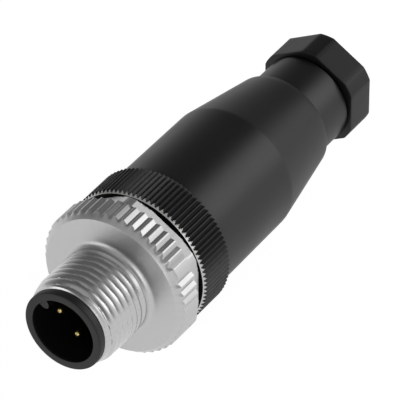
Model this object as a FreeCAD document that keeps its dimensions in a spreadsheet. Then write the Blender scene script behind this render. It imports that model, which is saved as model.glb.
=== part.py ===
import FreeCAD, Part
import math
import os
import re
import Sketcher

# Field-wireable circular connector with an M12 coupling thread, four contact pins and a cable gland.
# The connector's axis is X. The mating face looks along -X and the cable leaves along +X.
# The origin is on the axis, in the plane of the coupling ring's flat front face.

sizes = {
    # coupling ring
    "thread_diameter": 12.0,
    "thread_pitch": 1.0,
    "thread_turns": 6,
    "thread_crest": 0.52,
    "thread_angle": 60.0,
    "thread_start": 0.85,
    "thread_lead": 1.9,
    "thread_lead_depth": 0.55,
    "tube_wall": 1.0,
    "flange_diameter": 20.2,
    "flange_bevel_depth": 0.8,
    "flange_bevel": 1.25,
    "knurl_width": 2.75,
    "groove_pitch_angle": 7.0588,
    "grooves_in_a_row": 16,
    "groove_depth": 0.42,
    "groove_root_width": 0.2,
    "groove_top_width": 0.98,
    "ring_spanner_depth": 1.1,
    "ring_spanner_length": 1.6,
    "ring_chamfer_width": 0.75,
    "ring_chamfer_length": 0.45,
    "ring_web": 2.7,
    # contact insert
    "lip_setback": 0.07,
    "lip_length": 1.0,
    "lip_rounding": 0.2,
    "stem_tail": 1.3,
    "cavity_wall": 0.63,
    "cavity_depth": 9.0,
    "key_width": 1.1,
    "key_height": 0.72,
    "key_angle": 45.0,
    "key_setback": 0.33,
    # contact pins and screw terminals
    "pin_circle": 5.0,
    "pin_diameter": 1.0,
    "pin_recess": 2.75,
    "pin_tip_length": 0.45,
    "pin_tip_diameter": 0.5,
    "pin_shoulder_depth": 3.8,
    "pin_shoulder_diameter": 1.6,
    "pin_tail_diameter": 1.2,
    "pin_tail_length": 4.2,
    "clamp_width": 2.4,
    "clamp_length": 5.0,
    "clamp_height": 3.0,
    "clamp_floor": 0.28,
    "clamp_window_width": 1.5,
    "clamp_window_height": 1.9,
    "screw_diameter": 1.6,
    "screw_head_height": 1.0,
    "screw_slot_width": 0.45,
    "screw_slot_depth": 0.5,
    # terminal block
    "block_diameter": 13.2,
    "block_length": 13.0,
    "chamber_front": 2.2,
    "chamber_length": 6.6,
    "wire_hole_diameter": 2.0,
    # grip ring
    "grip_step": 0.38,
    "grip_length": 5.3,
    "grip_chamfer_width": 0.3,
    "grip_chamfer_length": 0.35,
    "grip_grooves": 94,
    "grip_groove_depth": 0.28,
    "grip_land": 0.1,
    "grip_web": 2.25,
    "ring_gap": 0.45,
    "boss_wall": 2.2,
    "spigot_wall": 1.35,
    "spigot_length": 7.05,
    "snap_groove_depth": 0.45,
    "snap_ring_reach": 0.7,
    "snap_ring_thickness": 0.6,
    "snap_ring_opening": 50.0,
    # sleeve seal
    "seal_groove_depth": 0.8,
    "seal_groove_start": 0.25,
    "seal_groove_width": 1.4,
    "seal_cord_diameter": 1.15,
    # sleeve
    "sleeve_gap": 0.1,
    "sleeve_edge_rounding": 0.25,
    "sleeve_draft": 0.14,
    "straight_length": 15.25,
    "cone_length": 11.2,
    "neck_step": 0.15,
    "neck_wall": 1.425,
    "neck_length": 5.8,
    "sleeve_wall": 1.35,
    "sleeve_front_wall": 0.51,
    "seal_bore_step": 0.45,
    "seal_bore_depth": 1.75,
    "spigot_room": 0.65,
    "cone_wall": 1.5,
    "throat_diameter": 7.2,
    "throat_length": 1.5,
    "gland_bore_diameter": 9.2,
    "gland_bore_depth": 9.4,
    # cable gland
    "cable_seal_length": 4.8,
    "cable_seal_bore": 6.0,
    "cable_seal_bevel": 0.7,
    "cage_ring_length": 1.0,
    "cage_bore": 6.5,
    "cage_finger_wall": 0.4,
    "cage_finger_length": 4.6,
    "cage_slots": 6,
    "cage_slot_width": 0.8,
    "gland_gap": 0.35,
    "gland_corner_step": 0.825,
    "gland_spanner_depth": 0.5,
    "gland_head_length": 4.5,
    "gland_edge_chamfer": 0.25,
    "cable_exit_diameter": 6.4,
    "cable_exit_length": 2.4,
    "cable_exit_chamfer": 0.6,
    # clearances
    "running_clearance": 0.05,
    "fit_clearance": 0.02,
    "gland_clearance": 0.1,
}

# Places along the axis and radii that follow from the sizes.
places = {
    "thread_run": "thread_turns * thread_pitch + thread_start",
    "ring_tip": "-thread_run - thread_lead",
    "knurl_front": "flange_bevel",
    "knurl_rear": "flange_bevel + knurl_width",
    "ring_rear": "knurl_rear + ring_spanner_length",
    "thread_radius": "thread_diameter / 2",
    "thread_tip_radius": "thread_radius - thread_lead_depth",
    "thread_flank": "(thread_pitch - thread_crest) / 2",
    "thread_root_radius": "thread_radius - thread_flank / tan(thread_angle / 2)",
    "ring_bore_radius": "thread_radius - tube_wall",
    "stem_radius": "ring_bore_radius - running_clearance",
    "lip_radius": "thread_tip_radius - lip_setback",
    "cavity_radius": "stem_radius - cavity_wall",
    "flange_radius": "flange_diameter / 2",
    "grip_radius": "flange_radius - grip_step",
    "lip_rear": "ring_tip - running_clearance",
    "rim": "lip_rear - lip_length",
    "cavity_floor": "rim + cavity_depth",
    "pin_tip": "rim + pin_recess",
    "pin_shoulder": "cavity_floor + pin_shoulder_depth",
    "grip_front": "ring_rear + ring_gap",
    "grip_rear": "grip_front + grip_length",
    "boss_front": "ring_web + running_clearance",
    "boss_radius": "stem_radius + boss_wall",
    "counterbore_radius": "boss_radius + running_clearance",
    "snap_groove_radius": "stem_radius - snap_groove_depth",
    "snap_ring_radius": "stem_radius + snap_ring_reach",
    "web_rear": "grip_front + grip_web",
    "stem_rear": "web_rear + stem_tail",
    "block_rear": "stem_rear + block_length",
    "block_bore_radius": "block_diameter / 2 + running_clearance",
    "spigot_radius": "block_bore_radius + spigot_wall",
    "spigot_rear": "grip_rear + spigot_length",
    "seal_groove_radius": "spigot_radius - seal_groove_depth",
    "seal_groove_front": "grip_rear + seal_groove_start",
    "seal_middle": "seal_groove_front + seal_groove_width / 2",
    "sleeve_front": "grip_rear + sleeve_gap",
    "sleeve_thread_rear": "spigot_rear + spigot_room",
    "seal_bore_radius": "spigot_radius + seal_bore_step",
    "sleeve_radius": "seal_bore_radius + sleeve_front_wall",
    "crease_radius": "sleeve_radius - sleeve_draft",
    "neck_radius": "gland_bore_diameter / 2 + neck_wall",
    "gland_corner_radius": "neck_radius + gland_corner_step",
    "crease": "sleeve_front + straight_length",
    "cone_end": "crease + cone_length",
    "neck_front": "cone_end + neck_step",
    "neck_rear": "neck_front + neck_length",
    "gland_bore_front": "neck_rear - gland_bore_depth",
    "throat_front": "gland_bore_front - throat_length",
    "cage_front": "gland_bore_front + cable_seal_length",
    "cage_step": "cage_front + cage_ring_length",
    "screw_front": "cage_step + running_clearance",
    "head_front": "neck_rear + gland_gap",
    "head_rear": "head_front + gland_head_length",
    "clamp_front": "stem_rear + chamber_front + (chamber_length - clamp_length) / 2",
    "clamp_base": "pin_circle / 2 - pin_tail_diameter / 2 - clamp_floor",
    "clamp_top": "clamp_base + clamp_height",
}


def in_sheet(text):
    """The expression with every place spelled out and every size read from the sheet."""
    def spell(word):
        name = word.group()
        if name in places:
            return "(" + in_sheet(places[name]) + ")"
        if name in sizes:
            return "Sizes." + name
        return name
    return re.sub(r"[A-Za-z_]+", spell, text)


def bind(thing, prop, text):
    thing.setExpression(prop, in_sheet(text))


def value_of(text):
    return float(sheet.evalExpression(in_sheet(text)))


def origin_part(body, role):
    return [item for item in body.Origin.OriginFeatures if item.Role == role][0]


def new_body(label):
    body = doc.addObject("PartDesign::Body", label)
    body.Label = label
    return body


def new_sketch(body, name, plane, along="0"):
    """A sketch on one of the body's own planes, moved along the plane's normal."""
    sketch = body.newObject("Sketcher::SketchObject", name)
    sketch.AttachmentSupport = [(origin_part(body, plane), "")]
    sketch.MapMode = "FlatFace"
    bind(sketch, "AttachmentOffset.Base.z", along)
    return sketch


def add_outline(sketch, points):
    """A closed outline of straight edges, with each corner held at its own two distances."""
    start = sketch.GeometryCount
    corners = [FreeCAD.Vector(value_of(x), value_of(y), 0) for x, y in points]
    count = len(corners)
    for number in range(count):
        sketch.addGeometry(Part.LineSegment(corners[number], corners[(number + 1) % count]), False)
    for number in range(count):
        after = start + (number + 1) % count
        sketch.addConstraint(Sketcher.Constraint("Coincident", start + number, 2, after, 1))
    for number, (x, y) in enumerate(points):
        for kind, text, place in (("DistanceX", x, corners[number].x), ("DistanceY", y, corners[number].y)):
            held = sketch.addConstraint(Sketcher.Constraint(kind, -1, 1, start + number, 1, place))
            bind(sketch, "Constraints[%d]" % held, text)


def add_circle(sketch, across, up, radius):
    """A circle with its centre held at two distances from the origin."""
    middle = FreeCAD.Vector(value_of(across), value_of(up), 0)
    circle = sketch.addGeometry(Part.Circle(middle, FreeCAD.Vector(0, 0, 1), value_of(radius)), False)
    for kind, text, place in (("DistanceX", across, middle.x), ("DistanceY", up, middle.y)):
        held = sketch.addConstraint(Sketcher.Constraint(kind, -1, 1, circle, 3, place))
        bind(sketch, "Constraints[%d]" % held, text)
    held = sketch.addConstraint(Sketcher.Constraint("Radius", circle, value_of(radius)))
    bind(sketch, "Constraints[%d]" % held, radius)


def turn(body, name, points):
    """A profile of places along the axis and radii, turned once round the axis."""
    sketch = new_sketch(body, name + "_profile", "XZ_Plane")
    add_outline(sketch, points)
    feature = body.newObject("PartDesign::Revolution", name)
    feature.Profile = sketch
    feature.ReferenceAxis = (sketch, ["H_Axis"])
    feature.Angle = 360
    sketch.Visibility = False
    return feature


def extrude(body, name, sketch, length, kind="PartDesign::Pad"):
    """A pad, or a pocket cut the same way, from the sketch towards +X."""
    feature = body.newObject(kind, name)
    feature.Profile = sketch
    bind(feature, "Length", length)
    feature.Reversed = kind == "PartDesign::Pocket"
    sketch.Visibility = False
    return feature


def pocket(body, name, sketch, length):
    return extrude(body, name, sketch, length, "PartDesign::Pocket")


def repeat(body, name, feature, count, angle="360"):
    """The feature copied round the X axis."""
    pattern = body.newObject("PartDesign::PolarPattern", name)
    pattern.Originals = [feature]
    pattern.Axis = (origin_part(body, "X_Axis"), [""])
    bind(pattern, "Angle", angle)
    bind(pattern, "Occurrences", count)
    body.Tip = pattern
    return pattern


def cut_flats(body, name, corner, depth, start, length):
    """Six flats for a spanner, cut to that depth below the corner radius, with one corner straight up."""
    sketch = new_sketch(body, name + "_sketch", "YZ_Plane", start)
    flat_place = corner + " - " + depth
    add_outline(sketch, [
        (flat_place, "-" + corner),
        (corner + " + 1", "-" + corner),
        (corner + " + 1", corner),
        (flat_place, corner),
    ])
    flat = pocket(body, name, sketch, length)
    return repeat(body, name + "_around", flat, "6")


def round_rim(body, name, feature, place, radius, size):
    """A rounded edge on the circle of that radius at that place along the axis."""
    doc.recompute()
    wanted = []
    for number, edge in enumerate(feature.Shape.Edges):
        if not isinstance(edge.Curve, Part.Circle):
            continue
        centre = edge.Curve.Center
        if abs(centre.x - value_of(place)) < 1e-4 and abs(edge.Curve.Radius - value_of(radius)) < 1e-4:
            wanted.append("Edge%d" % (number + 1))
    fillet = body.newObject("PartDesign::Fillet", name)
    fillet.Base = (feature, wanted)
    bind(fillet, "Radius", size)
    return fillet


def thread_outline():
    """The thread's crests and roots as rings of its own pitch and depth, from the tip to the flange."""
    points = []
    for turns in range(sizes["thread_turns"], 0, -1):
        front = "-%d * thread_pitch" % turns
        points += [
            (front, "thread_radius"),
            (front + " + thread_flank", "thread_root_radius"),
            (front + " + 2 * thread_flank", "thread_radius"),
        ]
    return points


def build_coupling_ring():
    """The metal ring that carries the coupling thread, its knurled rim and its spanner flats."""
    body = new_body("coupling_ring")
    turn(body, "ring", [
        ("ring_tip", "ring_bore_radius"),
        ("ring_tip", "thread_tip_radius"),
        ("-thread_run", "thread_radius"),
    ] + thread_outline() + [
        ("0", "thread_radius"),
        ("0", "flange_radius - flange_bevel_depth"),
        ("knurl_front", "flange_radius"),
        ("ring_rear - ring_chamfer_length", "flange_radius"),
        ("ring_rear", "flange_radius - ring_chamfer_width"),
        ("ring_rear", "counterbore_radius"),
        ("ring_web", "counterbore_radius"),
        ("ring_web", "ring_bore_radius"),
    ])
    cut_flats(body, "spanner_flat", "flange_radius", "ring_spanner_depth", "knurl_rear",
              "ring_spanner_length + 1")
    for row in range(3):
        sketch = new_sketch(body, "rim_groove_sketch_%d" % row, "YZ_Plane")
        bind(sketch, "AttachmentOffset.Rotation.Angle", "groove_pitch_angle - 180 - 120 * %d" % row)
        top = "flange_radius + 0.1"
        root = "flange_radius - groove_depth"
        add_outline(sketch, [
            ("-groove_top_width / 2", top),
            ("-groove_root_width / 2", root),
            ("groove_root_width / 2", root),
            ("groove_top_width / 2", top),
        ])
        cut = pocket(body, "rim_groove_%d" % row, sketch, "knurl_rear")
        repeat(body, "rim_grooves_%d" % row, cut, "grooves_in_a_row", "(grooves_in_a_row - 1) * groove_pitch_angle")
    return body


def build_contact_insert():
    """The moulded insert: its mouth, its coding key, and the stem that passes through both rings."""
    body = new_body("contact_insert")
    stem = turn(body, "stem", [
        ("rim", "cavity_radius"),
        ("rim", "lip_radius"),
        ("lip_rear", "lip_radius"),
        ("lip_rear", "stem_radius"),
        ("web_rear", "stem_radius"),
        ("web_rear", "snap_groove_radius"),
        ("web_rear + snap_ring_thickness", "snap_groove_radius"),
        ("web_rear + snap_ring_thickness", "stem_radius"),
        ("stem_rear", "stem_radius"),
        ("stem_rear", "0"),
        ("cavity_floor", "0"),
        ("cavity_floor", "cavity_radius"),
    ])
    round_rim(body, "lip_edge", stem, "rim", "lip_radius", "lip_rounding")
    key = new_sketch(body, "key_sketch", "YZ_Plane", "rim + key_setback")
    bind(key, "AttachmentOffset.Rotation.Angle", "-key_angle")
    add_outline(key, [
        ("-key_width / 2", "cavity_radius - key_height + key_width / 4"),
        ("-key_width / 4", "cavity_radius - key_height"),
        ("key_width / 4", "cavity_radius - key_height"),
        ("key_width / 2", "cavity_radius - key_height + key_width / 4"),
        ("key_width / 2", "cavity_radius + key_width / 4"),
        ("-key_width / 2", "cavity_radius + key_width / 4"),
    ])
    extrude(body, "key", key, "cavity_depth - key_setback + 0.5")
    holes = new_sketch(body, "pin_hole_sketch", "YZ_Plane", "cavity_floor - 0.5")
    add_circle(holes, "0", "pin_circle / 2", "pin_diameter / 2 + fit_clearance")
    hole = pocket(body, "pin_hole", holes, "stem_rear - cavity_floor + 1")
    repeat(body, "pin_holes", hole, "4")
    steps = new_sketch(body, "pin_seat_sketch", "YZ_Plane", "pin_shoulder")
    add_circle(steps, "0", "pin_circle / 2", "pin_shoulder_diameter / 2 + fit_clearance")
    seat = pocket(body, "pin_seat", steps, "stem_rear - pin_shoulder + 1")
    repeat(body, "pin_seats", seat, "4")
    return body


def build_contact_pin(number):
    """A turned contact pin: tapered tip, shaft, shoulder and the tail inside its clamp."""
    body = new_body("contact_pin_%d" % number)
    profile = [
        ("pin_tip", "0"),
        ("pin_tip", "pin_tip_diameter / 2"),
        ("pin_tip + pin_tip_length", "pin_diameter / 2"),
        ("pin_shoulder", "pin_diameter / 2"),
        ("pin_shoulder", "pin_shoulder_diameter / 2"),
        ("clamp_front - fit_clearance", "pin_shoulder_diameter / 2"),
        ("clamp_front - fit_clearance", "pin_tail_diameter / 2"),
        ("clamp_front + pin_tail_length", "pin_tail_diameter / 2"),
        ("clamp_front + pin_tail_length", "0"),
    ]
    turn(body, "pin", profile)
    place_round(body, number, "pin_circle / 2")
    return body


def build_terminal_clamp(number):
    """The brass box that the wire and the pin's tail lie in."""
    body = new_body("terminal_clamp_%d" % number)
    block = new_sketch(body, "box_sketch", "YZ_Plane", "clamp_front")
    add_outline(block, [
        ("-clamp_width / 2", "clamp_base"),
        ("clamp_width / 2", "clamp_base"),
        ("clamp_width / 2", "clamp_top"),
        ("-clamp_width / 2", "clamp_top"),
    ])
    extrude(body, "box", block, "clamp_length")
    window = new_sketch(body, "window_sketch", "YZ_Plane", "clamp_front - 1")
    add_outline(window, [
        ("-clamp_window_width / 2", "clamp_base + clamp_floor"),
        ("clamp_window_width / 2", "clamp_base + clamp_floor"),
        ("clamp_window_width / 2", "clamp_base + clamp_floor + clamp_window_height"),
        ("-clamp_window_width / 2", "clamp_base + clamp_floor + clamp_window_height"),
    ])
    pocket(body, "window", window, "clamp_length + 2")
    hole = new_sketch(body, "screw_hole_sketch", "XY_Plane", "clamp_base + clamp_floor + clamp_window_height / 2")
    add_circle(hole, "clamp_front + clamp_length / 2", "0", "screw_diameter / 2 + fit_clearance")
    pocket(body, "screw_hole", hole, "clamp_height")
    place_round(body, number, "0")
    return body


def build_terminal_screw(number):
    """The small slotted screw that presses a wire down on the pin's tail."""
    body = new_body("terminal_screw_%d" % number)
    middle = "clamp_front + clamp_length / 2"
    shank = new_sketch(body, "shank_sketch", "XY_Plane", "pin_circle / 2 + pin_tail_diameter / 2 + fit_clearance")
    add_circle(shank, middle, "0", "screw_diameter / 2")
    extrude(body, "shank", shank, "clamp_top - pin_circle / 2 - pin_tail_diameter / 2")
    head = new_sketch(body, "head_sketch", "XY_Plane", "clamp_top + fit_clearance")
    add_circle(head, middle, "0", "clamp_width / 2")
    extrude(body, "head", head, "screw_head_height")
    slot = new_sketch(body, "slot_sketch", "XY_Plane",
                      "clamp_top + fit_clearance + screw_head_height - screw_slot_depth")
    add_outline(slot, [
        (middle + " - clamp_width", "-screw_slot_width / 2"),
        (middle + " + clamp_width", "-screw_slot_width / 2"),
        (middle + " + clamp_width", "screw_slot_width / 2"),
        (middle + " - clamp_width", "screw_slot_width / 2"),
    ])
    pocket(body, "slot", slot, "screw_slot_depth + 1")
    place_round(body, number, "0")
    return body


def place_round(body, number, out):
    """Move the piece out from the axis and turn it to its own quarter."""
    angle = 90 * (number - 1)
    radians = math.radians(angle)
    body.Placement = FreeCAD.Placement(FreeCAD.Vector(), FreeCAD.Rotation(FreeCAD.Vector(1, 0, 0), angle))
    bind(body, "Placement.Base.y", "%d * (%s)" % (round(-math.sin(radians)), out))
    bind(body, "Placement.Base.z", "%d * (%s)" % (round(math.cos(radians)), out))


def build_terminal_block():
    """The moulded block behind the insert, with a chamber for each clamp and a hole for each wire."""
    body = new_body("terminal_block")
    turn(body, "block", [
        ("stem_rear", "0"),
        ("stem_rear", "block_diameter / 2"),
        ("block_rear", "block_diameter / 2"),
        ("block_rear", "0"),
    ])
    front = new_sketch(body, "pin_way_sketch", "YZ_Plane", "stem_rear - 1")
    add_circle(front, "0", "pin_circle / 2", "pin_shoulder_diameter / 2 + fit_clearance")
    way = pocket(body, "pin_way", front, "chamber_front + 2")
    repeat(body, "pin_ways", way, "4")
    chamber = new_sketch(body, "chamber_sketch", "YZ_Plane", "stem_rear + chamber_front")
    add_outline(chamber, [
        ("-clamp_width / 2 - running_clearance", "clamp_base - running_clearance"),
        ("clamp_width / 2 + running_clearance", "clamp_base - running_clearance"),
        ("clamp_width / 2 + running_clearance", "block_diameter"),
        ("-clamp_width / 2 - running_clearance", "block_diameter"),
    ])
    room = pocket(body, "chamber", chamber, "chamber_length")
    repeat(body, "chambers", room, "4")
    entry = new_sketch(body, "wire_hole_sketch", "YZ_Plane", "stem_rear + chamber_front + chamber_length / 2")
    add_circle(entry, "0", "clamp_base + clamp_height / 2", "wire_hole_diameter / 2")
    wire = pocket(body, "wire_hole", entry, "block_length")
    repeat(body, "wire_holes", wire, "4")
    return body


def build_grip_ring():
    """The knurled ring that holds the insert, with the front boss and the threaded spigot."""
    body = new_body("grip_ring")
    turn(body, "ring", [
        ("boss_front", "stem_radius + fit_clearance"),
        ("boss_front", "boss_radius"),
        ("grip_front", "boss_radius"),
        ("grip_front", "grip_radius - grip_chamfer_width"),
        ("grip_front + grip_chamfer_length", "grip_radius"),
        ("grip_rear", "grip_radius"),
        ("grip_rear", "spigot_radius"),
        ("seal_groove_front", "spigot_radius"),
        ("seal_groove_front", "seal_groove_radius"),
        ("seal_groove_front + seal_groove_width", "seal_groove_radius"),
        ("seal_groove_front + seal_groove_width", "spigot_radius"),
        ("spigot_rear", "spigot_radius"),
        ("spigot_rear", "block_bore_radius"),
        ("web_rear", "block_bore_radius"),
        ("web_rear", "stem_radius + fit_clearance"),
    ])
    sketch = new_sketch(body, "grip_groove_sketch", "YZ_Plane", "grip_front - 1")
    half = "(%.7f * 2 * grip_radius / grip_grooves - grip_land) / 2" % math.pi
    add_outline(sketch, [
        ("0", "grip_radius - grip_groove_depth"),
        (half, "grip_radius"),
        (half, "grip_radius + 1"),
        ("-" + half, "grip_radius + 1"),
        ("-" + half, "grip_radius"),
    ])
    cut = pocket(body, "grip_groove", sketch, "grip_length + 2")
    repeat(body, "grip_grooves", cut, "grip_grooves")
    return body


def build_snap_ring():
    """The open spring ring that keeps the insert in the grip ring."""
    body = new_body("snap_ring")
    turn(body, "ring", [
        ("web_rear + fit_clearance", "snap_groove_radius + fit_clearance"),
        ("web_rear + fit_clearance", "snap_ring_radius"),
        ("web_rear + snap_ring_thickness - fit_clearance", "snap_ring_radius"),
        ("web_rear + snap_ring_thickness - fit_clearance", "snap_groove_radius + fit_clearance"),
    ])
    sketch = new_sketch(body, "opening_sketch", "YZ_Plane", "web_rear - 1")
    add_outline(sketch, [
        ("0", "0"),
        ("-2 * snap_ring_radius * tan(snap_ring_opening / 2)", "-2 * snap_ring_radius"),
        ("2 * snap_ring_radius * tan(snap_ring_opening / 2)", "-2 * snap_ring_radius"),
    ])
    pocket(body, "opening", sketch, "snap_ring_thickness + 2")
    return body


def build_sleeve_seal():
    """The round seal between the grip ring's spigot and the sleeve."""
    seal = doc.addObject("Part::Torus", "sleeve_seal")
    seal.Label = "sleeve_seal"
    bind(seal, "Radius1", "seal_groove_radius + fit_clearance + seal_cord_diameter / 2")
    bind(seal, "Radius2", "seal_cord_diameter / 2")
    seal.Placement = FreeCAD.Placement(FreeCAD.Vector(), FreeCAD.Rotation(FreeCAD.Vector(0, 1, 0), 90))
    bind(seal, "Placement.Base.x", "seal_middle")
    return seal


def build_sleeve():
    """The smooth housing: a straight part, a cone and the neck that takes the gland screw."""
    body = new_body("sleeve")
    shell = turn(body, "shell", [
        ("sleeve_front", "seal_bore_radius"),
        ("sleeve_front", "sleeve_radius"),
        ("crease", "crease_radius"),
        ("cone_end", "gland_corner_radius"),
        ("neck_front", "neck_radius"),
        ("neck_rear", "neck_radius"),
        ("neck_rear", "gland_bore_diameter / 2"),
        ("gland_bore_front", "gland_bore_diameter / 2"),
        ("gland_bore_front", "throat_diameter / 2"),
        ("throat_front", "throat_diameter / 2"),
        ("crease", "crease_radius - cone_wall"),
        ("sleeve_thread_rear", "crease_radius - sleeve_wall"),
        ("sleeve_thread_rear", "spigot_radius + running_clearance"),
        ("sleeve_front + seal_bore_depth", "spigot_radius + running_clearance"),
        ("sleeve_front + seal_bore_depth", "seal_bore_radius"),
    ])
    round_rim(body, "front_edge", shell, "sleeve_front", "sleeve_radius", "sleeve_edge_rounding")
    return body


def build_cable_seal():
    """The rubber bush that closes on the cable when the gland screw is tightened."""
    body = new_body("cable_seal")
    outer = "gland_bore_diameter / 2 - gland_clearance"
    turn(body, "bush", [
        ("gland_bore_front + running_clearance", "cable_seal_bore / 2"),
        ("gland_bore_front + running_clearance", outer + " - cable_seal_bevel"),
        ("gland_bore_front + running_clearance + cable_seal_bevel", outer),
        ("cage_front - running_clearance", outer),
        ("cage_front - running_clearance", "cable_seal_bore / 2"),
    ])
    return body


def build_clamping_cage():
    """The slotted strain relief: a pressure ring with fingers round the cable."""
    body = new_body("clamping_cage")
    turn(body, "cage", [
        ("cage_front", "cage_bore / 2"),
        ("cage_front", "gland_bore_diameter / 2 - gland_clearance"),
        ("cage_step", "gland_bore_diameter / 2 - gland_clearance"),
        ("cage_step", "cage_bore / 2 + cage_finger_wall"),
        ("cage_step + cage_finger_length", "cage_bore / 2 + cage_finger_wall"),
        ("cage_step + cage_finger_length", "cage_bore / 2"),
    ])
    sketch = new_sketch(body, "slot_sketch", "YZ_Plane", "cage_step")
    add_outline(sketch, [
        ("-cage_slot_width / 2", "0.5"),
        ("cage_slot_width / 2", "0.5"),
        ("cage_slot_width / 2", "cage_bore"),
        ("-cage_slot_width / 2", "cage_bore"),
    ])
    slot = pocket(body, "slot", sketch, "cage_finger_length + 1")
    repeat(body, "slots", slot, "cage_slots")
    return body


def build_gland_screw():
    """The pressing screw: a hexagon head, a threaded shank and the cable's way out."""
    body = new_body("gland_screw")
    turn(body, "screw", [
        ("screw_front", "cage_bore / 2 + cage_finger_wall + gland_clearance"),
        ("screw_front", "gland_bore_diameter / 2 - running_clearance"),
        ("head_front", "gland_bore_diameter / 2 - running_clearance"),
        ("head_front", "gland_corner_radius"),
        ("head_rear - gland_edge_chamfer", "gland_corner_radius"),
        ("head_rear", "gland_corner_radius - gland_edge_chamfer"),
        ("head_rear", "cable_exit_diameter / 2 + cable_exit_chamfer"),
        ("head_rear - cable_exit_chamfer", "cable_exit_diameter / 2"),
        ("head_rear - cable_exit_chamfer - cable_exit_length", "cable_exit_diameter / 2"),
        ("head_rear - cable_exit_chamfer - cable_exit_length", "cage_bore / 2 + cage_finger_wall + gland_clearance"),
    ])
    cut_flats(body, "head_flat", "gland_corner_radius", "gland_spanner_depth", "head_front",
              "gland_head_length + 1")
    return body


doc = FreeCAD.newDocument("circular_connector")
sheet = doc.addObject("Spreadsheet::Sheet", "Sizes")
for row, (name, value) in enumerate(sizes.items(), start=1):
    sheet.set("A%d" % row, name)
    sheet.set("B%d" % row, str(value))
    sheet.setAlias("B%d" % row, name)
doc.recompute()

pieces = [build_coupling_ring(), build_contact_insert(), build_terminal_block(), build_grip_ring()]
for number in range(1, 5):
    pieces.append(build_contact_pin(number))
    pieces.append(build_terminal_clamp(number))
    pieces.append(build_terminal_screw(number))
pieces += [build_snap_ring(), build_sleeve_seal(), build_sleeve(), build_cable_seal()]
pieces += [build_clamping_cage(), build_gland_screw()]
doc.recompute()

for item in doc.Objects:
    if "Invalid" in item.State or "Error" in item.State:
        raise RuntimeError("%s could not be built" % item.Label)
for piece in pieces:
    if piece.Shape.isNull() or not piece.Shape.isValid() or len(piece.Shape.Solids) != 1:
        raise RuntimeError("%s is not one sound solid" % piece.Label)

os.makedirs("parts", exist_ok=True)
for piece in pieces:
    piece.Shape.exportStep("parts/%s.step" % piece.Label)
    print("%-20s %8.2f mm3" % (piece.Label, piece.Shape.Volume))
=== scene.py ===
import math

import bpy
import numpy as np
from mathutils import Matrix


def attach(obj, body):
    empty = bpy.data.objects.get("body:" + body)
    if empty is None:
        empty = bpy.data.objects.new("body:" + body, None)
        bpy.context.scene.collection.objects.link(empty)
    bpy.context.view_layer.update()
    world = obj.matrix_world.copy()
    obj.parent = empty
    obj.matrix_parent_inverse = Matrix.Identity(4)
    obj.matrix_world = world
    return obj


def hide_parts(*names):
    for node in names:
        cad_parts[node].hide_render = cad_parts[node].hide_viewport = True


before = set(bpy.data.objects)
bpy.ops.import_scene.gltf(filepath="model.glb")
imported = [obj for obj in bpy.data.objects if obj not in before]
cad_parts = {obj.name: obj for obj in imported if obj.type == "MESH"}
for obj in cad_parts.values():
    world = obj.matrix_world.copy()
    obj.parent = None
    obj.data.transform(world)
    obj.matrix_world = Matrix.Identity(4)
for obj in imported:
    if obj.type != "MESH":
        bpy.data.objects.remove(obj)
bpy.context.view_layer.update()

mm = 0.001
scene = bpy.context.scene


# The linear colour of an sRGB hex colour.
def linearColour(hexText):
    levels = [int(hexText[place:place + 2], 16) / 255 for place in (1, 3, 5)]
    return [v / 12.92 if v <= 0.04045 else ((v + 0.055) / 1.055) ** 2.4 for v in levels] + [1.0]


# A node with its settings and its input values, or the sockets that feed them.
def addNode(tree, kind, inputs=None, **settings):
    node = tree.nodes.new(kind)
    for name, value in settings.items():
        setattr(node, name, value)
    for name, value in (inputs or {}).items():
        if isinstance(value, bpy.types.NodeSocket):
            tree.links.new(value, node.inputs[name])
        else:
            node.inputs[name].default_value = value
    return node


# The result of one step of arithmetic on the inputs, in their order.
def calculate(tree, operation, *inputs):
    return addNode(tree, "ShaderNodeMath", dict(enumerate(inputs)), operation=operation).outputs[0]


# The value carried from the range start to end to the range low to high, and held at its ends.
def mapped(tree, value, start, end, low=0.0, high=1.0, shape="LINEAR"):
    inputs = {"Value": value, "From Min": start, "From Max": end, "To Min": low, "To Max": high}
    return addNode(tree, "ShaderNodeMapRange", inputs, interpolation_type=shape).outputs[0]


# Noise that changes so many times a millimetre.
def noise(tree, place, perMm, detail):
    inputs = {"Vector": place, "Scale": perMm / mm, "Detail": detail}
    return addNode(tree, "ShaderNodeTexNoise", inputs).outputs["Fac"]


def newMaterial(name):
    material = bpy.data.materials.new(name)
    material.use_nodes = True
    tree = material.node_tree
    return material, tree, tree.nodes["Principled BSDF"]


# The shader's colour and roughness, and a relief of that many millimetres on it.
def dress(tree, shader, colour, roughness, relief, strength, height):
    inputs = {"Height": relief, "Strength": strength, "Distance": height * mm}
    bump = addNode(tree, "ShaderNodeBump", inputs)
    shader.inputs["Base Color"].default_value = linearColour(colour)
    tree.links.new(roughness, shader.inputs["Roughness"])
    tree.links.new(bump.outputs[0], shader.inputs["Normal"])


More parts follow.
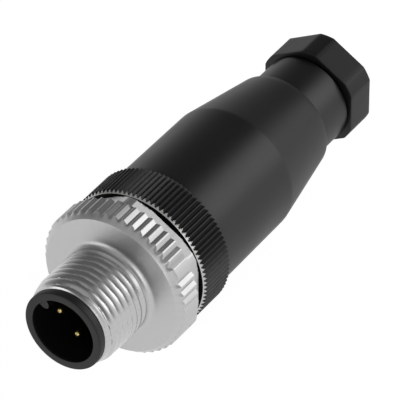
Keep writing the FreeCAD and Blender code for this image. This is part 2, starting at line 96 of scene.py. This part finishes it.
# The corners as one path: a corner (x, r, size) becomes an arc of that radius.
def roundedPath(corners):
    count = len(corners)
    arcPoints = 6
    path = []
    for place in range(count):
        here = np.array(corners[place][:2], float)
        size = corners[place][2] if len(corners[place]) > 2 else 0
        before = np.array(corners[place - 1][:2], float) - here
        after = np.array(corners[(place + 1) % count][:2], float) - here
        if not size:
            path.append(here)
            continue
        before, after = before / np.linalg.norm(before), after / np.linalg.norm(after)
        half = math.acos(np.clip(before @ after, -1, 1)) / 2
        reach = size / math.tan(half)
        bisector = (before + after) / np.linalg.norm(before + after)
        middle = here + bisector * size / math.sin(half)
        first, last = here + before * reach - middle, here + after * reach - middle
        sweep = math.atan2(first[0] * last[1] - first[1] * last[0], first @ last)
        for part in np.linspace(0, sweep, arcPoints):
            turned = [math.cos(part) * first[0] - math.sin(part) * first[1],
                      math.sin(part) * first[0] + math.cos(part) * first[1]]
            path.append(middle + turned)
    return np.array(path)


# The closed path with extra points, so that no two are further apart than the step.
def spread(path, step):
    after = np.roll(path, -1, axis=0)
    counts = np.maximum(1, np.ceil(np.linalg.norm(after - path, axis=1) / step)).astype(int)
    return np.concatenate([a + (b - a) * np.arange(n)[:, None] / n for a, b, n in zip(path, after, counts)])


# The places on the axis and the radii of a profile's points, as two columns.
def profileColumns(profile, step):
    path = spread(roundedPath(profile), step)
    return path[:, :1], path[:, 1:]


# Which points of the path lie on a cylinder between two places on the axis.
def onCylinder(path, radius, start, end):
    return np.isclose(path[:, 1], radius) & (path[:, 0] > start) & (path[:, 0] < end)


# Grid points at the place x on the axis, the radius r and the angle from +Z towards -Y.
def aroundAxis(x, r, angle):
    x, r, angle = np.broadcast_arrays(x, r, angle)
    return np.stack([x, -r * np.sin(angle), r * np.cos(angle)], axis=-1)


# How far the angle is from the nearest whole number of steps, in degrees.
def aroundSteps(angle, step):
    return angle - step * np.round(angle / step)


# The flats of a hexagon, in degrees: from each to the next, and the middle of the first.
flatStep = 60
flatMiddle = 30


# The radius of six flats: their distance over the cosine of the angle from the nearest one's middle.
def sixFlats(distance, angle):
    return distance / np.cos(np.radians(aroundSteps(angle - flatMiddle, flatStep)))


# A closed mesh through a grid of points, rows by columns by 3, in millimetres. Point (i, j) joins
# (i + 1, j), (i + 1, j + 1) and (i, j + 1), and both ways wrap round. With poles the first and last
# rows each close in the mean of their points.
def skin(name, points, sharpAngle, poles=False):
    rows, columns = points.shape[:2]
    index = np.arange(rows * columns).reshape(rows, columns)
    right = np.roll(index, -1, axis=1)
    if poles:
        quads = np.stack([index[:-1], index[1:], right[1:], right[:-1]], axis=-1).reshape(-1, 4)
        ends = np.stack([points[0].mean(axis=0), points[-1].mean(axis=0)])
        first, last = rows * columns, rows * columns + 1
        caps = np.concatenate([
            np.stack([np.full(columns, first), index[0], right[0]], axis=-1),
            np.stack([np.full(columns, last), right[-1], index[-1]], axis=-1)])
        vertices = np.concatenate([points.reshape(-1, 3), ends])
    else:
        quads = np.stack([index, np.roll(index, -1, axis=0), np.roll(right, -1, axis=0), right], axis=-1)
        quads, caps, vertices = quads.reshape(-1, 4), np.zeros((0, 3), int), points.reshape(-1, 3)
    triangles = np.concatenate([quads[:, [0, 1, 2]], quads[:, [0, 2, 3]], caps])
    corner = vertices[triangles]
    volume = np.einsum("ij,ij->i", corner[:, 0], np.cross(corner[:, 1], corner[:, 2])).sum()
    if volume < 0:
        quads, caps = quads[:, ::-1], caps[:, ::-1]
    loops = np.concatenate([quads.reshape(-1), caps.reshape(-1)])
    totals = np.concatenate([np.full(len(quads), 4), np.full(len(caps), 3)])
    mesh = bpy.data.meshes.new(name)
    mesh.vertices.add(len(vertices))
    mesh.vertices.foreach_set("co", (vertices * mm).astype(np.float32).reshape(-1))
    mesh.loops.add(len(loops))
    mesh.loops.foreach_set("vertex_index", loops.astype(np.int32))
    mesh.polygons.add(len(totals))
    mesh.polygons.foreach_set("loop_start", (np.cumsum(totals) - totals).astype(np.int32))
    mesh.polygons.foreach_set("use_smooth", np.ones(len(totals), bool))
    mesh.update(calc_edges=True)
    mesh.validate()
    mesh.set_sharp_from_angle(angle=math.radians(sharpAngle))
    thing = bpy.data.objects.new(name, mesh)
    scene.collection.objects.link(thing)
    return thing


# The piece takes its material, rides on its body and stands for its nodes.
def keep(thing, material, body, slotName, *nodes):
    thing.data.materials.append(material)
    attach(thing, body)
    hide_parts(*nodes)


# A vector of every face of the piece, such as its centre or its normal.
def faceVectors(thing, what):
    values = np.zeros(len(thing.data.polygons) * 3)
    thing.data.polygons.foreach_get(what, values)
    return values.reshape(-1, 3)


# The picked faces take a second material.
def paint(thing, material, picked):
    thing.data.materials.append(material)
    thing.data.polygons.foreach_set("material_index", picked.astype(np.int32))


# Nickel on a die-cast ring that was turned before plating. Satin metal takes the tone of what it
# faces, the faint marks round the axis draw its highlights out, and the flange is duller than the
# thread.
def satinNickel():
    settings = {"colour": "#bababa", "roughness": 0.18, "flangeRoughness": 0.3, "threadEnd": -1.2,
                "flangeStart": -0.4, "cloudsPerMm": 0.6, "cloudDetail": 4.0, "clouds": 0.1,
                "marksPerMm": 9.0, "markDetail": 2.0, "markStrength": 0.2, "markHeight": 0.0009}
    material, tree, shader = newMaterial("satinNickel")
    place = addNode(tree, "ShaderNodeTexCoord").outputs["Object"]
    split = addNode(tree, "ShaderNodeSeparateXYZ", {"Vector": place}).outputs
    squares = [calculate(tree, "MULTIPLY", split[axis], split[axis]) for axis in ("Y", "Z")]
    radius = calculate(tree, "SQRT", calculate(tree, "ADD", *squares))
    along = calculate(tree, "ADD", radius, split["X"])
    line = addNode(tree, "ShaderNodeCombineXYZ", {"X": along}).outputs[0]
    marks = noise(tree, line, settings["marksPerMm"], settings["markDetail"])
    cloud = noise(tree, place, settings["cloudsPerMm"], settings["cloudDetail"])
    even = mapped(tree, split["X"], settings["threadEnd"] * mm, settings["flangeStart"] * mm,
                  settings["roughness"], settings["flangeRoughness"])
    level = calculate(tree, "MULTIPLY_ADD", cloud, settings["clouds"], even)
    shader.inputs["Metallic"].default_value = 1.0
    dress(tree, shader, settings["colour"], level, marks, settings["markStrength"], settings["markHeight"])
    return material


# Glass-filled plastic from a mould: its grain dulls the sheen, and the gloss is a little cloudy.
# Towards its outline it loses its shine, so that it doesn't mirror the white ground there.
def mouldedPlastic(name, colour, roughness, grain, ior=1.45):
    settings = {"grainsPerMm": 7.0, "grainDetail": 3.0, "grainHeight": 0.01, "cloudsPerMm": 0.15,
                "cloudDetail": 3.0, "cloudRange": (0.3, 0.7), "smoother": 0.02, "rougher": 0.03,
                "outlineRange": (0.35, 0.8), "shine": 0.5, "outlineShine": 0.08}
    material, tree, shader = newMaterial(name)
    place = addNode(tree, "ShaderNodeTexCoord").outputs["Object"]
    fine = noise(tree, place, settings["grainsPerMm"], settings["grainDetail"])
    cloud = noise(tree, place, settings["cloudsPerMm"], settings["cloudDetail"])
    level = mapped(tree, cloud, *settings["cloudRange"], roughness - settings["smoother"],
                   roughness + settings["rougher"])
    facing = addNode(tree, "ShaderNodeLayerWeight", {"Blend": 0.5}).outputs["Facing"]
    sheen = mapped(tree, facing, *settings["outlineRange"], settings["shine"], settings["outlineShine"])
    shader.inputs["IOR"].default_value = ior
    tree.links.new(sheen, shader.inputs["Specular IOR Level"])
    dress(tree, shader, colour, level, fine, grain, settings["grainHeight"])
    return material


# Plated or coated metal: the coat's own colour, with a slightly uneven gloss.
def speckledMetal(name, colour, roughness, metallic=1.0, ior=None):
    settings = {"cloudsPerMm": 1.5, "cloudDetail": 4.0, "cloudRange": (0.3, 0.7), "smoother": 0.04,
                "rougher": 0.05, "reliefStrength": 0.1, "reliefHeight": 0.004}
    material, tree, shader = newMaterial(name)
    place = addNode(tree, "ShaderNodeTexCoord").outputs["Object"]
    cloud = noise(tree, place, settings["cloudsPerMm"], settings["cloudDetail"])
    level = mapped(tree, cloud, *settings["cloudRange"], roughness - settings["smoother"],
                   roughness + settings["rougher"])
    shader.inputs["Metallic"].default_value = metallic
    if ior is not None:
        shader.inputs["IOR"].default_value = ior
    dress(tree, shader, colour, level, cloud, settings["reliefStrength"], settings["reliefHeight"])
    return material


# The insert is matt, and its cavity takes a darker copy of its plastic as painted shade. The sleeve
# and the gland screw have a softer, wider sheen, the coat on the knurl is harder and blacker, and its
# turned chamfer is bare metal.
nickel = satinNickel()
insertPlastic = mouldedPlastic("insertPlastic", "#131313", 0.46, 0.3, 1.4)
# A darker, less glossy copy of the insert's plastic: painted shade for the inside of the cavity.
cavityPaintedShade = mouldedPlastic("cavityPaintedShade", "#0c0c0c", 0.45, 0.2, 1.3)
sleevePlastic = mouldedPlastic("sleevePlastic", "#0f0f10", 0.34, 0.12, 1.44)
glandPlastic = mouldedPlastic("glandPlastic", "#101010", 0.38, 0.12, 1.36)
cagePlastic = mouldedPlastic("cagePlastic", "#cfcdc6", 0.45, 0.2)
sealRubber = mouldedPlastic("sealRubber", "#121212", 0.6, 0.3)
blackCoat = speckledMetal("blackCoat", "#101011", 0.34, 0.0, 1.36)
bareChamfer = speckledMetal("bareChamfer", "#b9b9b7", 0.3)
gold = speckledMetal("goldPlate", "#c0ae74", 0.2)
brightNickel = speckledMetal("brightNickel", "#cbc7bd", 0.25)
zinc = speckledMetal("zincPlate", "#b4b8bf", 0.3)
springSteel = speckledMetal("springSteel", "#8d9096", 0.3)
print("materials made", flush=True)


# Thread: it advances one pitch a turn, and s runs from 0 to 1 along the axis within each turn. The
# surface rises by the parabola steep s - (steep + shallow) s^2 / (2 edge) up to the edge, then
# falls in a straight line to 0 at s = 1: a rounded front and crest with a sharp root behind. The
# crests lie on a cone at the tip, which fades into a radius that steps from turn to turn until it
# is full. The depth grows from nothing at the tip.
def threadRadius(settings, x, a):
    pitch, crest = settings["pitch"], settings["crest"]
    steep, shallow, edge = settings["frontSlope"], settings["rearSlope"], settings["rearEdge"]
    turn = x / pitch - a / 360
    s = turn - np.floor(turn)
    rise = steep * s - (steep + shallow) * s * s / (2 * edge)
    edgeRise = steep * edge - (steep + shallow) * edge / 2
    rise = np.where(s < edge, rise, edgeRise * (1 - s) / (1 - edge))
    highest = steep * steep * edge / (2 * (steep + shallow))
    start = settings["coneStart"]
    past = x - settings["threadStart"]
    cone = np.clip(start + (crest - start) * past / settings["coneLength"], start, crest)
    middle = pitch * (np.floor(turn) + a / 360 + settings["crestPlace"])
    climb = (crest - settings["stepStart"]) * (middle - settings["tip"]) / settings["stepLength"]
    stepped = np.clip(settings["stepStart"] + climb, start, crest)
    blend = np.clip(past / settings["fadeLength"], 0, 1)
    lead = blend * stepped + (1 - blend) * cone
    depth = pitch * np.clip(past / settings["growLength"], 0, 1)
    return lead + depth * (rise - highest)


# One closed skin. Its radius at (x, a) is that of the turned profile or the thread, and no more
# than those of the rim's grooves and the flats. A groove's radius is interpolated between its four
# edges, and one side is slightly wider. The face leans back, and its foot is an arc up to the lean.
def couplingRing():
    settings = {
        "front": [(-8.75, 5.0), (-8.75, 5.12), (-8.52, 5.51), (-6.85, 6.0), (-1.55, 6.0, 0.04),
                  (-1.48, 5.4, 0.05), (-1.25, 5.4, 0.08)],
        "rear": [(0.35, 9.3, 0.06), (1.25, 10.1, 0.08), (3.99, 10.1), (4.01, 10.1), (5.15, 10.1, 0.08),
                 (5.6, 9.35, 0.06), (5.6, 7.2, 0.06), (2.7, 7.2), (2.7, 5.0)],
        "rowStep": 0.3, "bore": 5.0, "recess": 7.2, "recessFront": 2.7, "recessRear": 5.5,
        "rootFillet": 0.9, "rootStart": 5.8, "rootAngle": 4, "rootPoints": 12, "faceLean": 8,
        "tip": -8.75, "threadStart": -8.5, "threadEnd": -1.53, "threadFloor": 5.2, "rowsPerPitch": 16,
        "pitch": 1.0, "crest": 6.0, "frontSlope": 0.62, "rearSlope": 0.12, "rearEdge": 0.88,
        "coneStart": 5.5, "coneLength": 1.7, "stepStart": 5.45, "stepLength": 1.9, "crestPlace": 0.72,
        "fadeLength": 1.2, "growLength": 0.55,
        "rim": 10.1, "rimFloor": 9, "grooves": 51, "rows": 3, "rowStart": 60, "plainHalf": 3.4,
        "grooveRoot": 9.77, "grooveEdges": [-0.5, 0.03, 0.05, 0.54], "edgeHalf": 0.1,
        "plain": [-3.15, -2.95, -1.5, -0.5, 0.5, 1.5, 2.95, 3.15],
        "flatRadius": 9.0, "hexFront": 4.0, "hexFloor": 8.5, "sharpAngle": 30}
    rim, floor, crest = settings["rim"], settings["grooveRoot"], settings["crest"]
    margin = 0.01
    part = np.radians(np.linspace(settings["rootAngle"], 90 - settings["faceLean"], settings["rootPoints"]))
    root = np.stack([settings["rootFillet"] * (np.sin(part) - 1),
                     settings["rootStart"] + settings["rootFillet"] * (1 - np.cos(part))], axis=1)
    path = spread(roundedPath(settings["front"] + root.tolist() + settings["rear"]), settings["rowStep"])
    inBore = onCylinder(path, settings["bore"], settings["tip"] + margin, settings["recessFront"] - margin)
    inRecess = onCylinder(path, settings["recess"], settings["recessFront"] + margin, settings["recessRear"])
    path = path[~(inBore | inRecess)]
    turns = np.arange(settings["threadStart"], settings["threadEnd"],
                      settings["pitch"] / settings["rowsPerPitch"])
    first = int(np.argmax(path[:, 0] > settings["threadStart"] - margin))
    last = first + int(np.argmax(path[first:, 0] > settings["threadEnd"]))
    crests = np.stack([turns, np.full(len(turns), crest)], axis=1)
    path = np.concatenate([path[:first], crests, path[last:]])
    x, r = path[:, :1], path[:, 1:]

    step = 360 / settings["grooves"]
    edges = [math.degrees(edge / rim) for edge in settings["grooveEdges"]]
    grooved = [edge + side for edge in edges for side in (-settings["edgeHalf"], settings["edgeHalf"])]
    inRow = settings["grooves"] // settings["rows"]
    a = np.array([number * step + settings["rowStart"] + offset for number in range(settings["grooves"])
                  for offset in (settings["plain"] if number % inRow == 0 else grooved)])[None, :]

    threaded = (x > settings["threadStart"] - margin) & (x < settings["threadEnd"])
    threaded = threaded & (r > settings["threadFloor"])
    radius = np.where(threaded, threadRadius(settings, x, a), r)
    offset = np.radians(aroundSteps(a - settings["rowStart"], step)) * rim
    groove = np.interp(offset, settings["grooveEdges"], [rim, floor, floor, rim])
    fromPlain = np.abs(aroundSteps(a - settings["rowStart"], 360 / settings["rows"]))
    groove = np.where(fromPlain < settings["plainHalf"], rim, groove)
    onRim = (x >= 0) & (x < settings["hexFront"]) & (r > settings["rimFloor"])
    radius = np.where(onRim, np.minimum(radius, groove), radius)
    onHex = (x >= settings["hexFront"]) & (r > settings["hexFloor"])
    radius = np.where(onHex, np.minimum(radius, sixFlats(settings["flatRadius"], a)), radius)
    ring = skin("couplingRing", aroundAxis(x, radius, np.radians(a)), settings["sharpAngle"])
    keep(ring, nickel, "coupling", "nickel_plated_zinc", "coupling_ring")


couplingRing()
print("coupling ring made", flush=True)


# One closed skin. Its radius at (x, a) is the turned profile, less the key's height inside the
# cavity. That height at the distance s from the key's middle is a base plus the root of half the
# width squared less s squared. The cavity's walls take a darker plastic of their own, which is painted
# shade.
def contactInsert():
    settings = {
        "profile": [(-0.8, 4.32, 0.1), (-9.45, 4.32), (-9.49, 4.32), (-9.8, 4.32, 0.07),
                    (-9.8, 5.38, 0.2), (-8.8, 5.38, 0.04), (-8.8, 4.95), (8.3, 4.95), (8.3, 4.5),
                    (8.9, 4.5), (8.9, 4.95), (9.6, 4.95, 0.05), (9.6, 0.02), (-0.8, 0.02)],
        "rowStep": 0.6, "keyAngle": -45, "keyHalf": 0.66, "keyBase": 0.42, "keyFront": -9.47,
        "keyRear": -0.75, "cavity": 4.32, "wallInner": 4.1, "wallOuter": 4.4, "paintedShadeFront": -9.44,
        "fineHalf": 12, "fineStep": 0.6, "coarseStep": 1.5, "sharpAngle": 35}
    fine = np.arange(-settings["fineHalf"], settings["fineHalf"] + 0.01, settings["fineStep"])
    coarse = np.arange(settings["fineHalf"] + 1, 360 - settings["fineHalf"], settings["coarseStep"])
    a = (np.concatenate([fine, coarse]) + settings["keyAngle"])[None, :]
    x, r = profileColumns(settings["profile"], settings["rowStep"])
    s = np.radians(a - settings["keyAngle"]) * settings["cavity"]
    key = settings["keyBase"] + np.sqrt(np.clip(settings["keyHalf"] ** 2 - s ** 2, 0, None))
    key = np.where(np.abs(s) < settings["keyHalf"], key, 0)
    inside = (x > settings["keyFront"]) & (x < settings["keyRear"])
    inside = inside & (r > settings["wallInner"]) & (r < settings["wallOuter"])
    radius = np.where(inside, r - key, r)
    insert = skin("contactInsert", aroundAxis(x, radius, np.radians(a)), settings["sharpAngle"])
    keep(insert, insertPlastic, "carrier", "black_insert_plastic", "contact_insert")
    # The faces inside the cavity, behind its front, take the darker plastic as painted shade.
    centres = faceVectors(insert, "center") / mm
    shadedCavityFaces = np.hypot(centres[:, 1], centres[:, 2]) < settings["wallOuter"]
    shadedCavityFaces = shadedCavityFaces & (centres[:, 0] > settings["paintedShadeFront"]) & (centres[:, 0] < 0)
    paint(insert, cavityPaintedShade, shadedCavityFaces)


# Turned pins, each a profile round its own axis and closed at both ends. The tip's radius grows
# with the sine and its place with one less the cosine of a quarter turn.
def contactPins():
    settings = {"count": 4, "circle": 2.5, "radius": 0.5, "tip": -7.05, "tipLength": 0.5, "tipEnd": 0.1,
                "tipStart": 0.1, "tipRows": 10, "columns": 32, "sharpAngle": 40,
                "shaft": [(-3, 0.5), (3.0, 0.5), (3.0, 0.8), (12.58, 0.8), (12.58, 0.6), (16.8, 0.6)]}
    part = np.linspace(settings["tipStart"], 1, settings["tipRows"]) * math.pi / 2
    tipX = settings["tip"] + settings["tipLength"] * (1 - np.cos(part))
    tipR = settings["tipEnd"] + (settings["radius"] - settings["tipEnd"]) * np.sin(part)
    profile = np.concatenate([[(settings["tip"], settings["tipEnd"])], np.stack([tipX, tipR], axis=1),
                              settings["shaft"]])
    angle = np.linspace(0, 2 * math.pi, settings["columns"], endpoint=False)[None, :]
    for number in range(settings["count"]):
        place = math.radians(360 / settings["count"] * number)
        points = aroundAxis(profile[:, :1], profile[:, 1:], angle)
        points[..., 1] -= settings["circle"] * math.sin(place)
        points[..., 2] += settings["circle"] * math.cos(place)
        pin = skin("contactPin%d" % (number + 1), points, settings["sharpAngle"], poles=True)
        keep(pin, gold, "carrier", "gold_plated_brass", "contact_pin_%d" % (number + 1))


contactInsert()
contactPins()
print("insert and pins made", flush=True)


# One closed skin. Its radius at (x, a) is the least of the turned profile and the V grooves, whose
# radius rises linearly from the middle of the root to the land. The turned chamfer is left bare.
def gripRing():
    settings = {
        "profile": [(2.75, 4.97), (2.75, 7.15, 0.1), (6.05, 7.15), (6.05, 9.36), (6.4, 9.72),
                    (11.35, 9.72), (11.35, 8.0), (11.6, 8.0), (11.6, 7.2), (13.0, 7.2), (13.0, 8.0),
                    (18.4, 8.0, 0.3), (18.4, 6.65), (8.3, 6.65), (8.3, 4.97)],
        "rowStep": 0.9, "outer": 9.72, "depth": 0.28, "grooves": 94, "land": 0.1,
        "across": [-1.0, -0.55, -0.06, 0.06, 0.55, 1.0], "front": 6.05, "rear": 11.35, "knurlFloor": 9.0,
        "chamferRear": 6.4, "chamferRadius": 9.36, "chamferRows": 9, "chamferFloor": 9.3,
        "bareNormal": -0.45, "sharpAngle": 25}
    outer, front, chamferRear = settings["outer"], settings["front"], settings["chamferRear"]
    margin = 0.01
    half = (2 * math.pi * outer / settings["grooves"] - settings["land"]) / 2
    halfAngle = math.degrees(half / outer)
    offsets = np.array(settings["across"]) * halfAngle
    step = 360 / settings["grooves"]
    a = (np.arange(settings["grooves"])[:, None] * step + offsets).reshape(-1)[None, :]
    path = spread(roundedPath(settings["profile"]), settings["rowStep"])
    outside = path[:, 1] > settings["chamferFloor"]
    first = int(np.argmax((path[:, 0] > front - margin) & outside))
    last = int(np.argmax((path[:, 0] > chamferRear - margin) & outside))
    rows = np.linspace([front, settings["chamferRadius"]], [chamferRear, outer], settings["chamferRows"])
    path = np.concatenate([path[:first], rows, path[last + 1:]])
    x, r = path[:, :1], path[:, 1:]
    s = np.abs(aroundSteps(a, step)) / halfAngle
    knurl = outer - settings["depth"] * (1 - np.clip(s, 0, 1))
    onKnurl = (x > front - margin) & (x < settings["rear"] + margin) & (r > settings["knurlFloor"])
    radius = np.where(onKnurl, np.minimum(r, knurl), r)
    ring = skin("gripRing", aroundAxis(x, radius, np.radians(a)), settings["sharpAngle"])
    keep(ring, blackCoat, "carrier", "black_coated_zinc", "grip_ring")
    centres, normals = faceVectors(ring, "center") / mm, faceVectors(ring, "normal")
    bare = (centres[:, 0] > front) & (centres[:, 0] < chamferRear)
    bare = bare & (np.hypot(centres[:, 1], centres[:, 2]) > settings["chamferFloor"])
    bare = bare & (normals[:, 0] < settings["bareNormal"])
    paint(ring, bareChamfer, bare)


gripRing()
print("grip ring made", flush=True)


# One closed skin: the profile turned round the axis.
def sleeveHousing():
    settings = {
        "profile": [(11.45, 8.45, 0.05), (11.45, 8.96, 0.25), (26.7, 8.82, 3.0), (37.9, 6.85, 0.35),
                    (38.05, 6.2, 0.2), (38.3, 6.05, 0.5), (43.85, 6.025, 0.12), (43.85, 4.6),
                    (34.45, 4.6), (34.45, 3.6), (32.95, 3.6), (26.7, 7.32), (19.05, 7.47),
                    (19.05, 8.05), (13.2, 8.05), (13.2, 8.45)],
        "rowStep": 0.8, "columns": 192, "sharpAngle": 30}
    angle = np.linspace(0, 360, settings["columns"], endpoint=False)[None, :]
    x, r = profileColumns(settings["profile"], settings["rowStep"])
    sleeve = skin("sleeveHousing", aroundAxis(x, r, np.radians(angle)), settings["sharpAngle"])
    keep(sleeve, sleevePlastic, "housing", "black_sleeve_plastic", "sleeve")


# One closed skin. On the head its radius at (x, a) is the least of the turned profile and the
# flat's radius, less what the profile is short of the corners' radius there.
def glandScrew():
    settings = {
        "profile": [(40.3, 3.75), (40.3, 4.55, 0.1), (44.2, 4.55, 0.05), (44.2, 6.85, 0.1),
                    (48.7, 6.85, 0.25), (48.7, 3.8, 0.1), (48.1, 3.2, 0.1), (45.7, 3.2), (45.7, 3.75)],
        "rowStep": 0.6, "flatRadius": 6.35, "corner": 6.85, "headFront": 44.2, "headFloor": 6.0,
        "across": [-29.9, -27.5, -25, -16, -8, 0, 8, 16, 25, 27.5], "edgeHalf": 0.5, "sharpAngle": 28}
    edge = math.degrees(math.acos(settings["flatRadius"] / settings["corner"]))
    edges = [side * edge + beside for side in (-1, 1)
             for beside in (-settings["edgeHalf"], settings["edgeHalf"])]
    offsets = np.sort(settings["across"] + edges)
    middles = np.arange(0, 360, flatStep)[:, None] + flatMiddle
    a = (middles + offsets).reshape(-1)[None, :]
    x, r = profileColumns(settings["profile"], settings["rowStep"])
    flat = sixFlats(settings["flatRadius"], a) - (settings["corner"] - r)
    onHead = (x > settings["headFront"] - 0.001) & (r > settings["headFloor"])
    radius = np.where(onHead, np.minimum(r, flat), r)
    screw = skin("glandScrew", aroundAxis(x, radius, np.radians(a)), settings["sharpAngle"])
    keep(screw, glandPlastic, "gland", "black_gland_plastic", "gland_screw")


sleeveHousing()
glandScrew()
print("sleeve and gland made", flush=True)


# The nodes inside stay as they come from the frame and only take their materials.
carried = {"terminal_block": insertPlastic, "snap_ring": springSteel, "sleeve_seal": sealRubber,
           "cable_seal": sealRubber, "clamping_cage": cagePlastic}
for number in range(1, 5):
    carried["terminal_clamp_%d" % number] = brightNickel
    carried["terminal_screw_%d" % number] = zinc
for name, material in carried.items():
    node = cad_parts[name]
    node.data.materials.clear()
    node.data.materials.append(material)
print("inner nodes dressed", flush=True)


# The camera that was fitted to the photo.
def takeCamera():
    settings = {"location": (-0.375740, -0.259160, 0.380718), "degrees": (51.16, 0, -56.76),
                "lens": 450, "sensor": 36, "clipStart": 0.05, "clipEnd": 20}
    camera = bpy.data.objects.new("camera", bpy.data.cameras.new("camera"))
    camera.location = settings["location"]
    camera.rotation_euler = [math.radians(angle) for angle in settings["degrees"]]
    camera.data.lens = settings["lens"]
    camera.data.sensor_width = settings["sensor"]
    camera.data.clip_start, camera.data.clip_end = settings["clipStart"], settings["clipEnd"]
    scene.collection.objects.link(camera)
    scene.camera = camera


# One near the centre direction and none away from it, between two angles in degrees.
def lobe(tree, direction, centre, inner, outer):
    length = math.sqrt(sum(v * v for v in centre))
    unit = [v / length for v in centre]
    dot = addNode(tree, "ShaderNodeVectorMath", {0: direction, 1: unit}, operation="DOT_PRODUCT")
    return mapped(tree, dot.outputs["Value"], math.cos(math.radians(outer)),
                  math.cos(math.radians(inner)), shape="SMOOTHSTEP")


# A studio that is dark overhead and behind the camera. It is pale low down at the far side, and a
# wide soft light stands at the camera's right. The lamps are, in order: one at the right, half-way
# up, for the streaks on the thread and the rim's grooves, a wide dim one overhead at the near left
# for what faces up and forwards, one low behind the camera for the fillet at the thread's root, and
# one low at the left for the chamfer at the tip.
def surroundings():
    settings = {
        "base": 0.17, "low": 0.55, "lowRange": (0.6, 0.0), "farRange": (-0.7, 0.5), "nearShare": 0.1,
        "side": 0.85, "sideLobe": ((0.17, -0.98, 0.09), 15, 80), "sideRange": (-0.35, 0.2),
        "lamps": [((0.63, -0.59, 0.5), 4, 28, 1.5), ((-0.63, 0.05, 0.76), 15, 48, 0.35),
                  ((-0.86, -0.5, 0.12), 8, 27, 2.1), ((-0.78, 0.61, 0.16), 5, 20, 1.8)]}
    world = bpy.data.worlds.new("studio")
    scene.world = world
    world.use_nodes = True
    tree = world.node_tree
    tree.nodes.clear()
    direction = addNode(tree, "ShaderNodeTexCoord").outputs["Generated"]
    split = addNode(tree, "ShaderNodeSeparateXYZ", {"Vector": direction}).outputs
    low = mapped(tree, split["Z"], *settings["lowRange"], shape="SMOOTHSTEP")
    far = mapped(tree, split["X"], *settings["farRange"], settings["nearShare"], shape="SMOOTHSTEP")
    pale = calculate(tree, "MULTIPLY", calculate(tree, "MULTIPLY", low, far), settings["low"])
    side = calculate(tree, "MULTIPLY", lobe(tree, direction, *settings["sideLobe"]), settings["side"])
    right = mapped(tree, split["X"], *settings["sideRange"], shape="SMOOTHSTEP")
    most = calculate(tree, "MAXIMUM", pale, calculate(tree, "MULTIPLY", side, right))
    strength = calculate(tree, "ADD", most, settings["base"])
    for centre, inner, outer, power in settings["lamps"]:
        glow = lobe(tree, direction, centre, inner, outer)
        strength = calculate(tree, "MULTIPLY_ADD", glow, power, strength)
    studio = addNode(tree, "ShaderNodeBackground", {"Color": (1, 1, 1, 1), "Strength": strength})
    addNode(tree, "ShaderNodeOutputWorld", {"Surface": studio.outputs[0]})


# A white ground under the object. It glows so that it looks white from every side, and it still
# takes a faint shadow.
def floorPlane():
    settings = {"half": 2.5, "height": -10.1 * mm, "glow": 0.94, "matt": 0.16}
    half = settings["half"]
    mesh = bpy.data.meshes.new("ground")
    mesh.from_pydata([(-half, -half, 0), (half, -half, 0), (half, half, 0), (-half, half, 0)], [],
                     [(0, 1, 2, 3)])
    ground = bpy.data.objects.new("ground", mesh)
    ground.location = (0, 0, settings["height"])
    scene.collection.objects.link(ground)
    material, tree, shader = newMaterial("ground")
    tree.nodes.remove(shader)
    matt = addNode(tree, "ShaderNodeBsdfDiffuse", {"Color": [settings["matt"]] * 3 + [1]})
    glow = addNode(tree, "ShaderNodeEmission", {"Color": (1, 1, 1, 1), "Strength": settings["glow"]})
    both = addNode(tree, "ShaderNodeAddShader", {0: matt.outputs[0], 1: glow.outputs[0]})
    tree.links.new(both.outputs[0], tree.nodes["Material Output"].inputs["Surface"])
    mesh.materials.append(material)


takeCamera()
surroundings()
floorPlane()
print("camera and surroundings made", flush=True)

scene.view_settings.view_transform = "Standard"
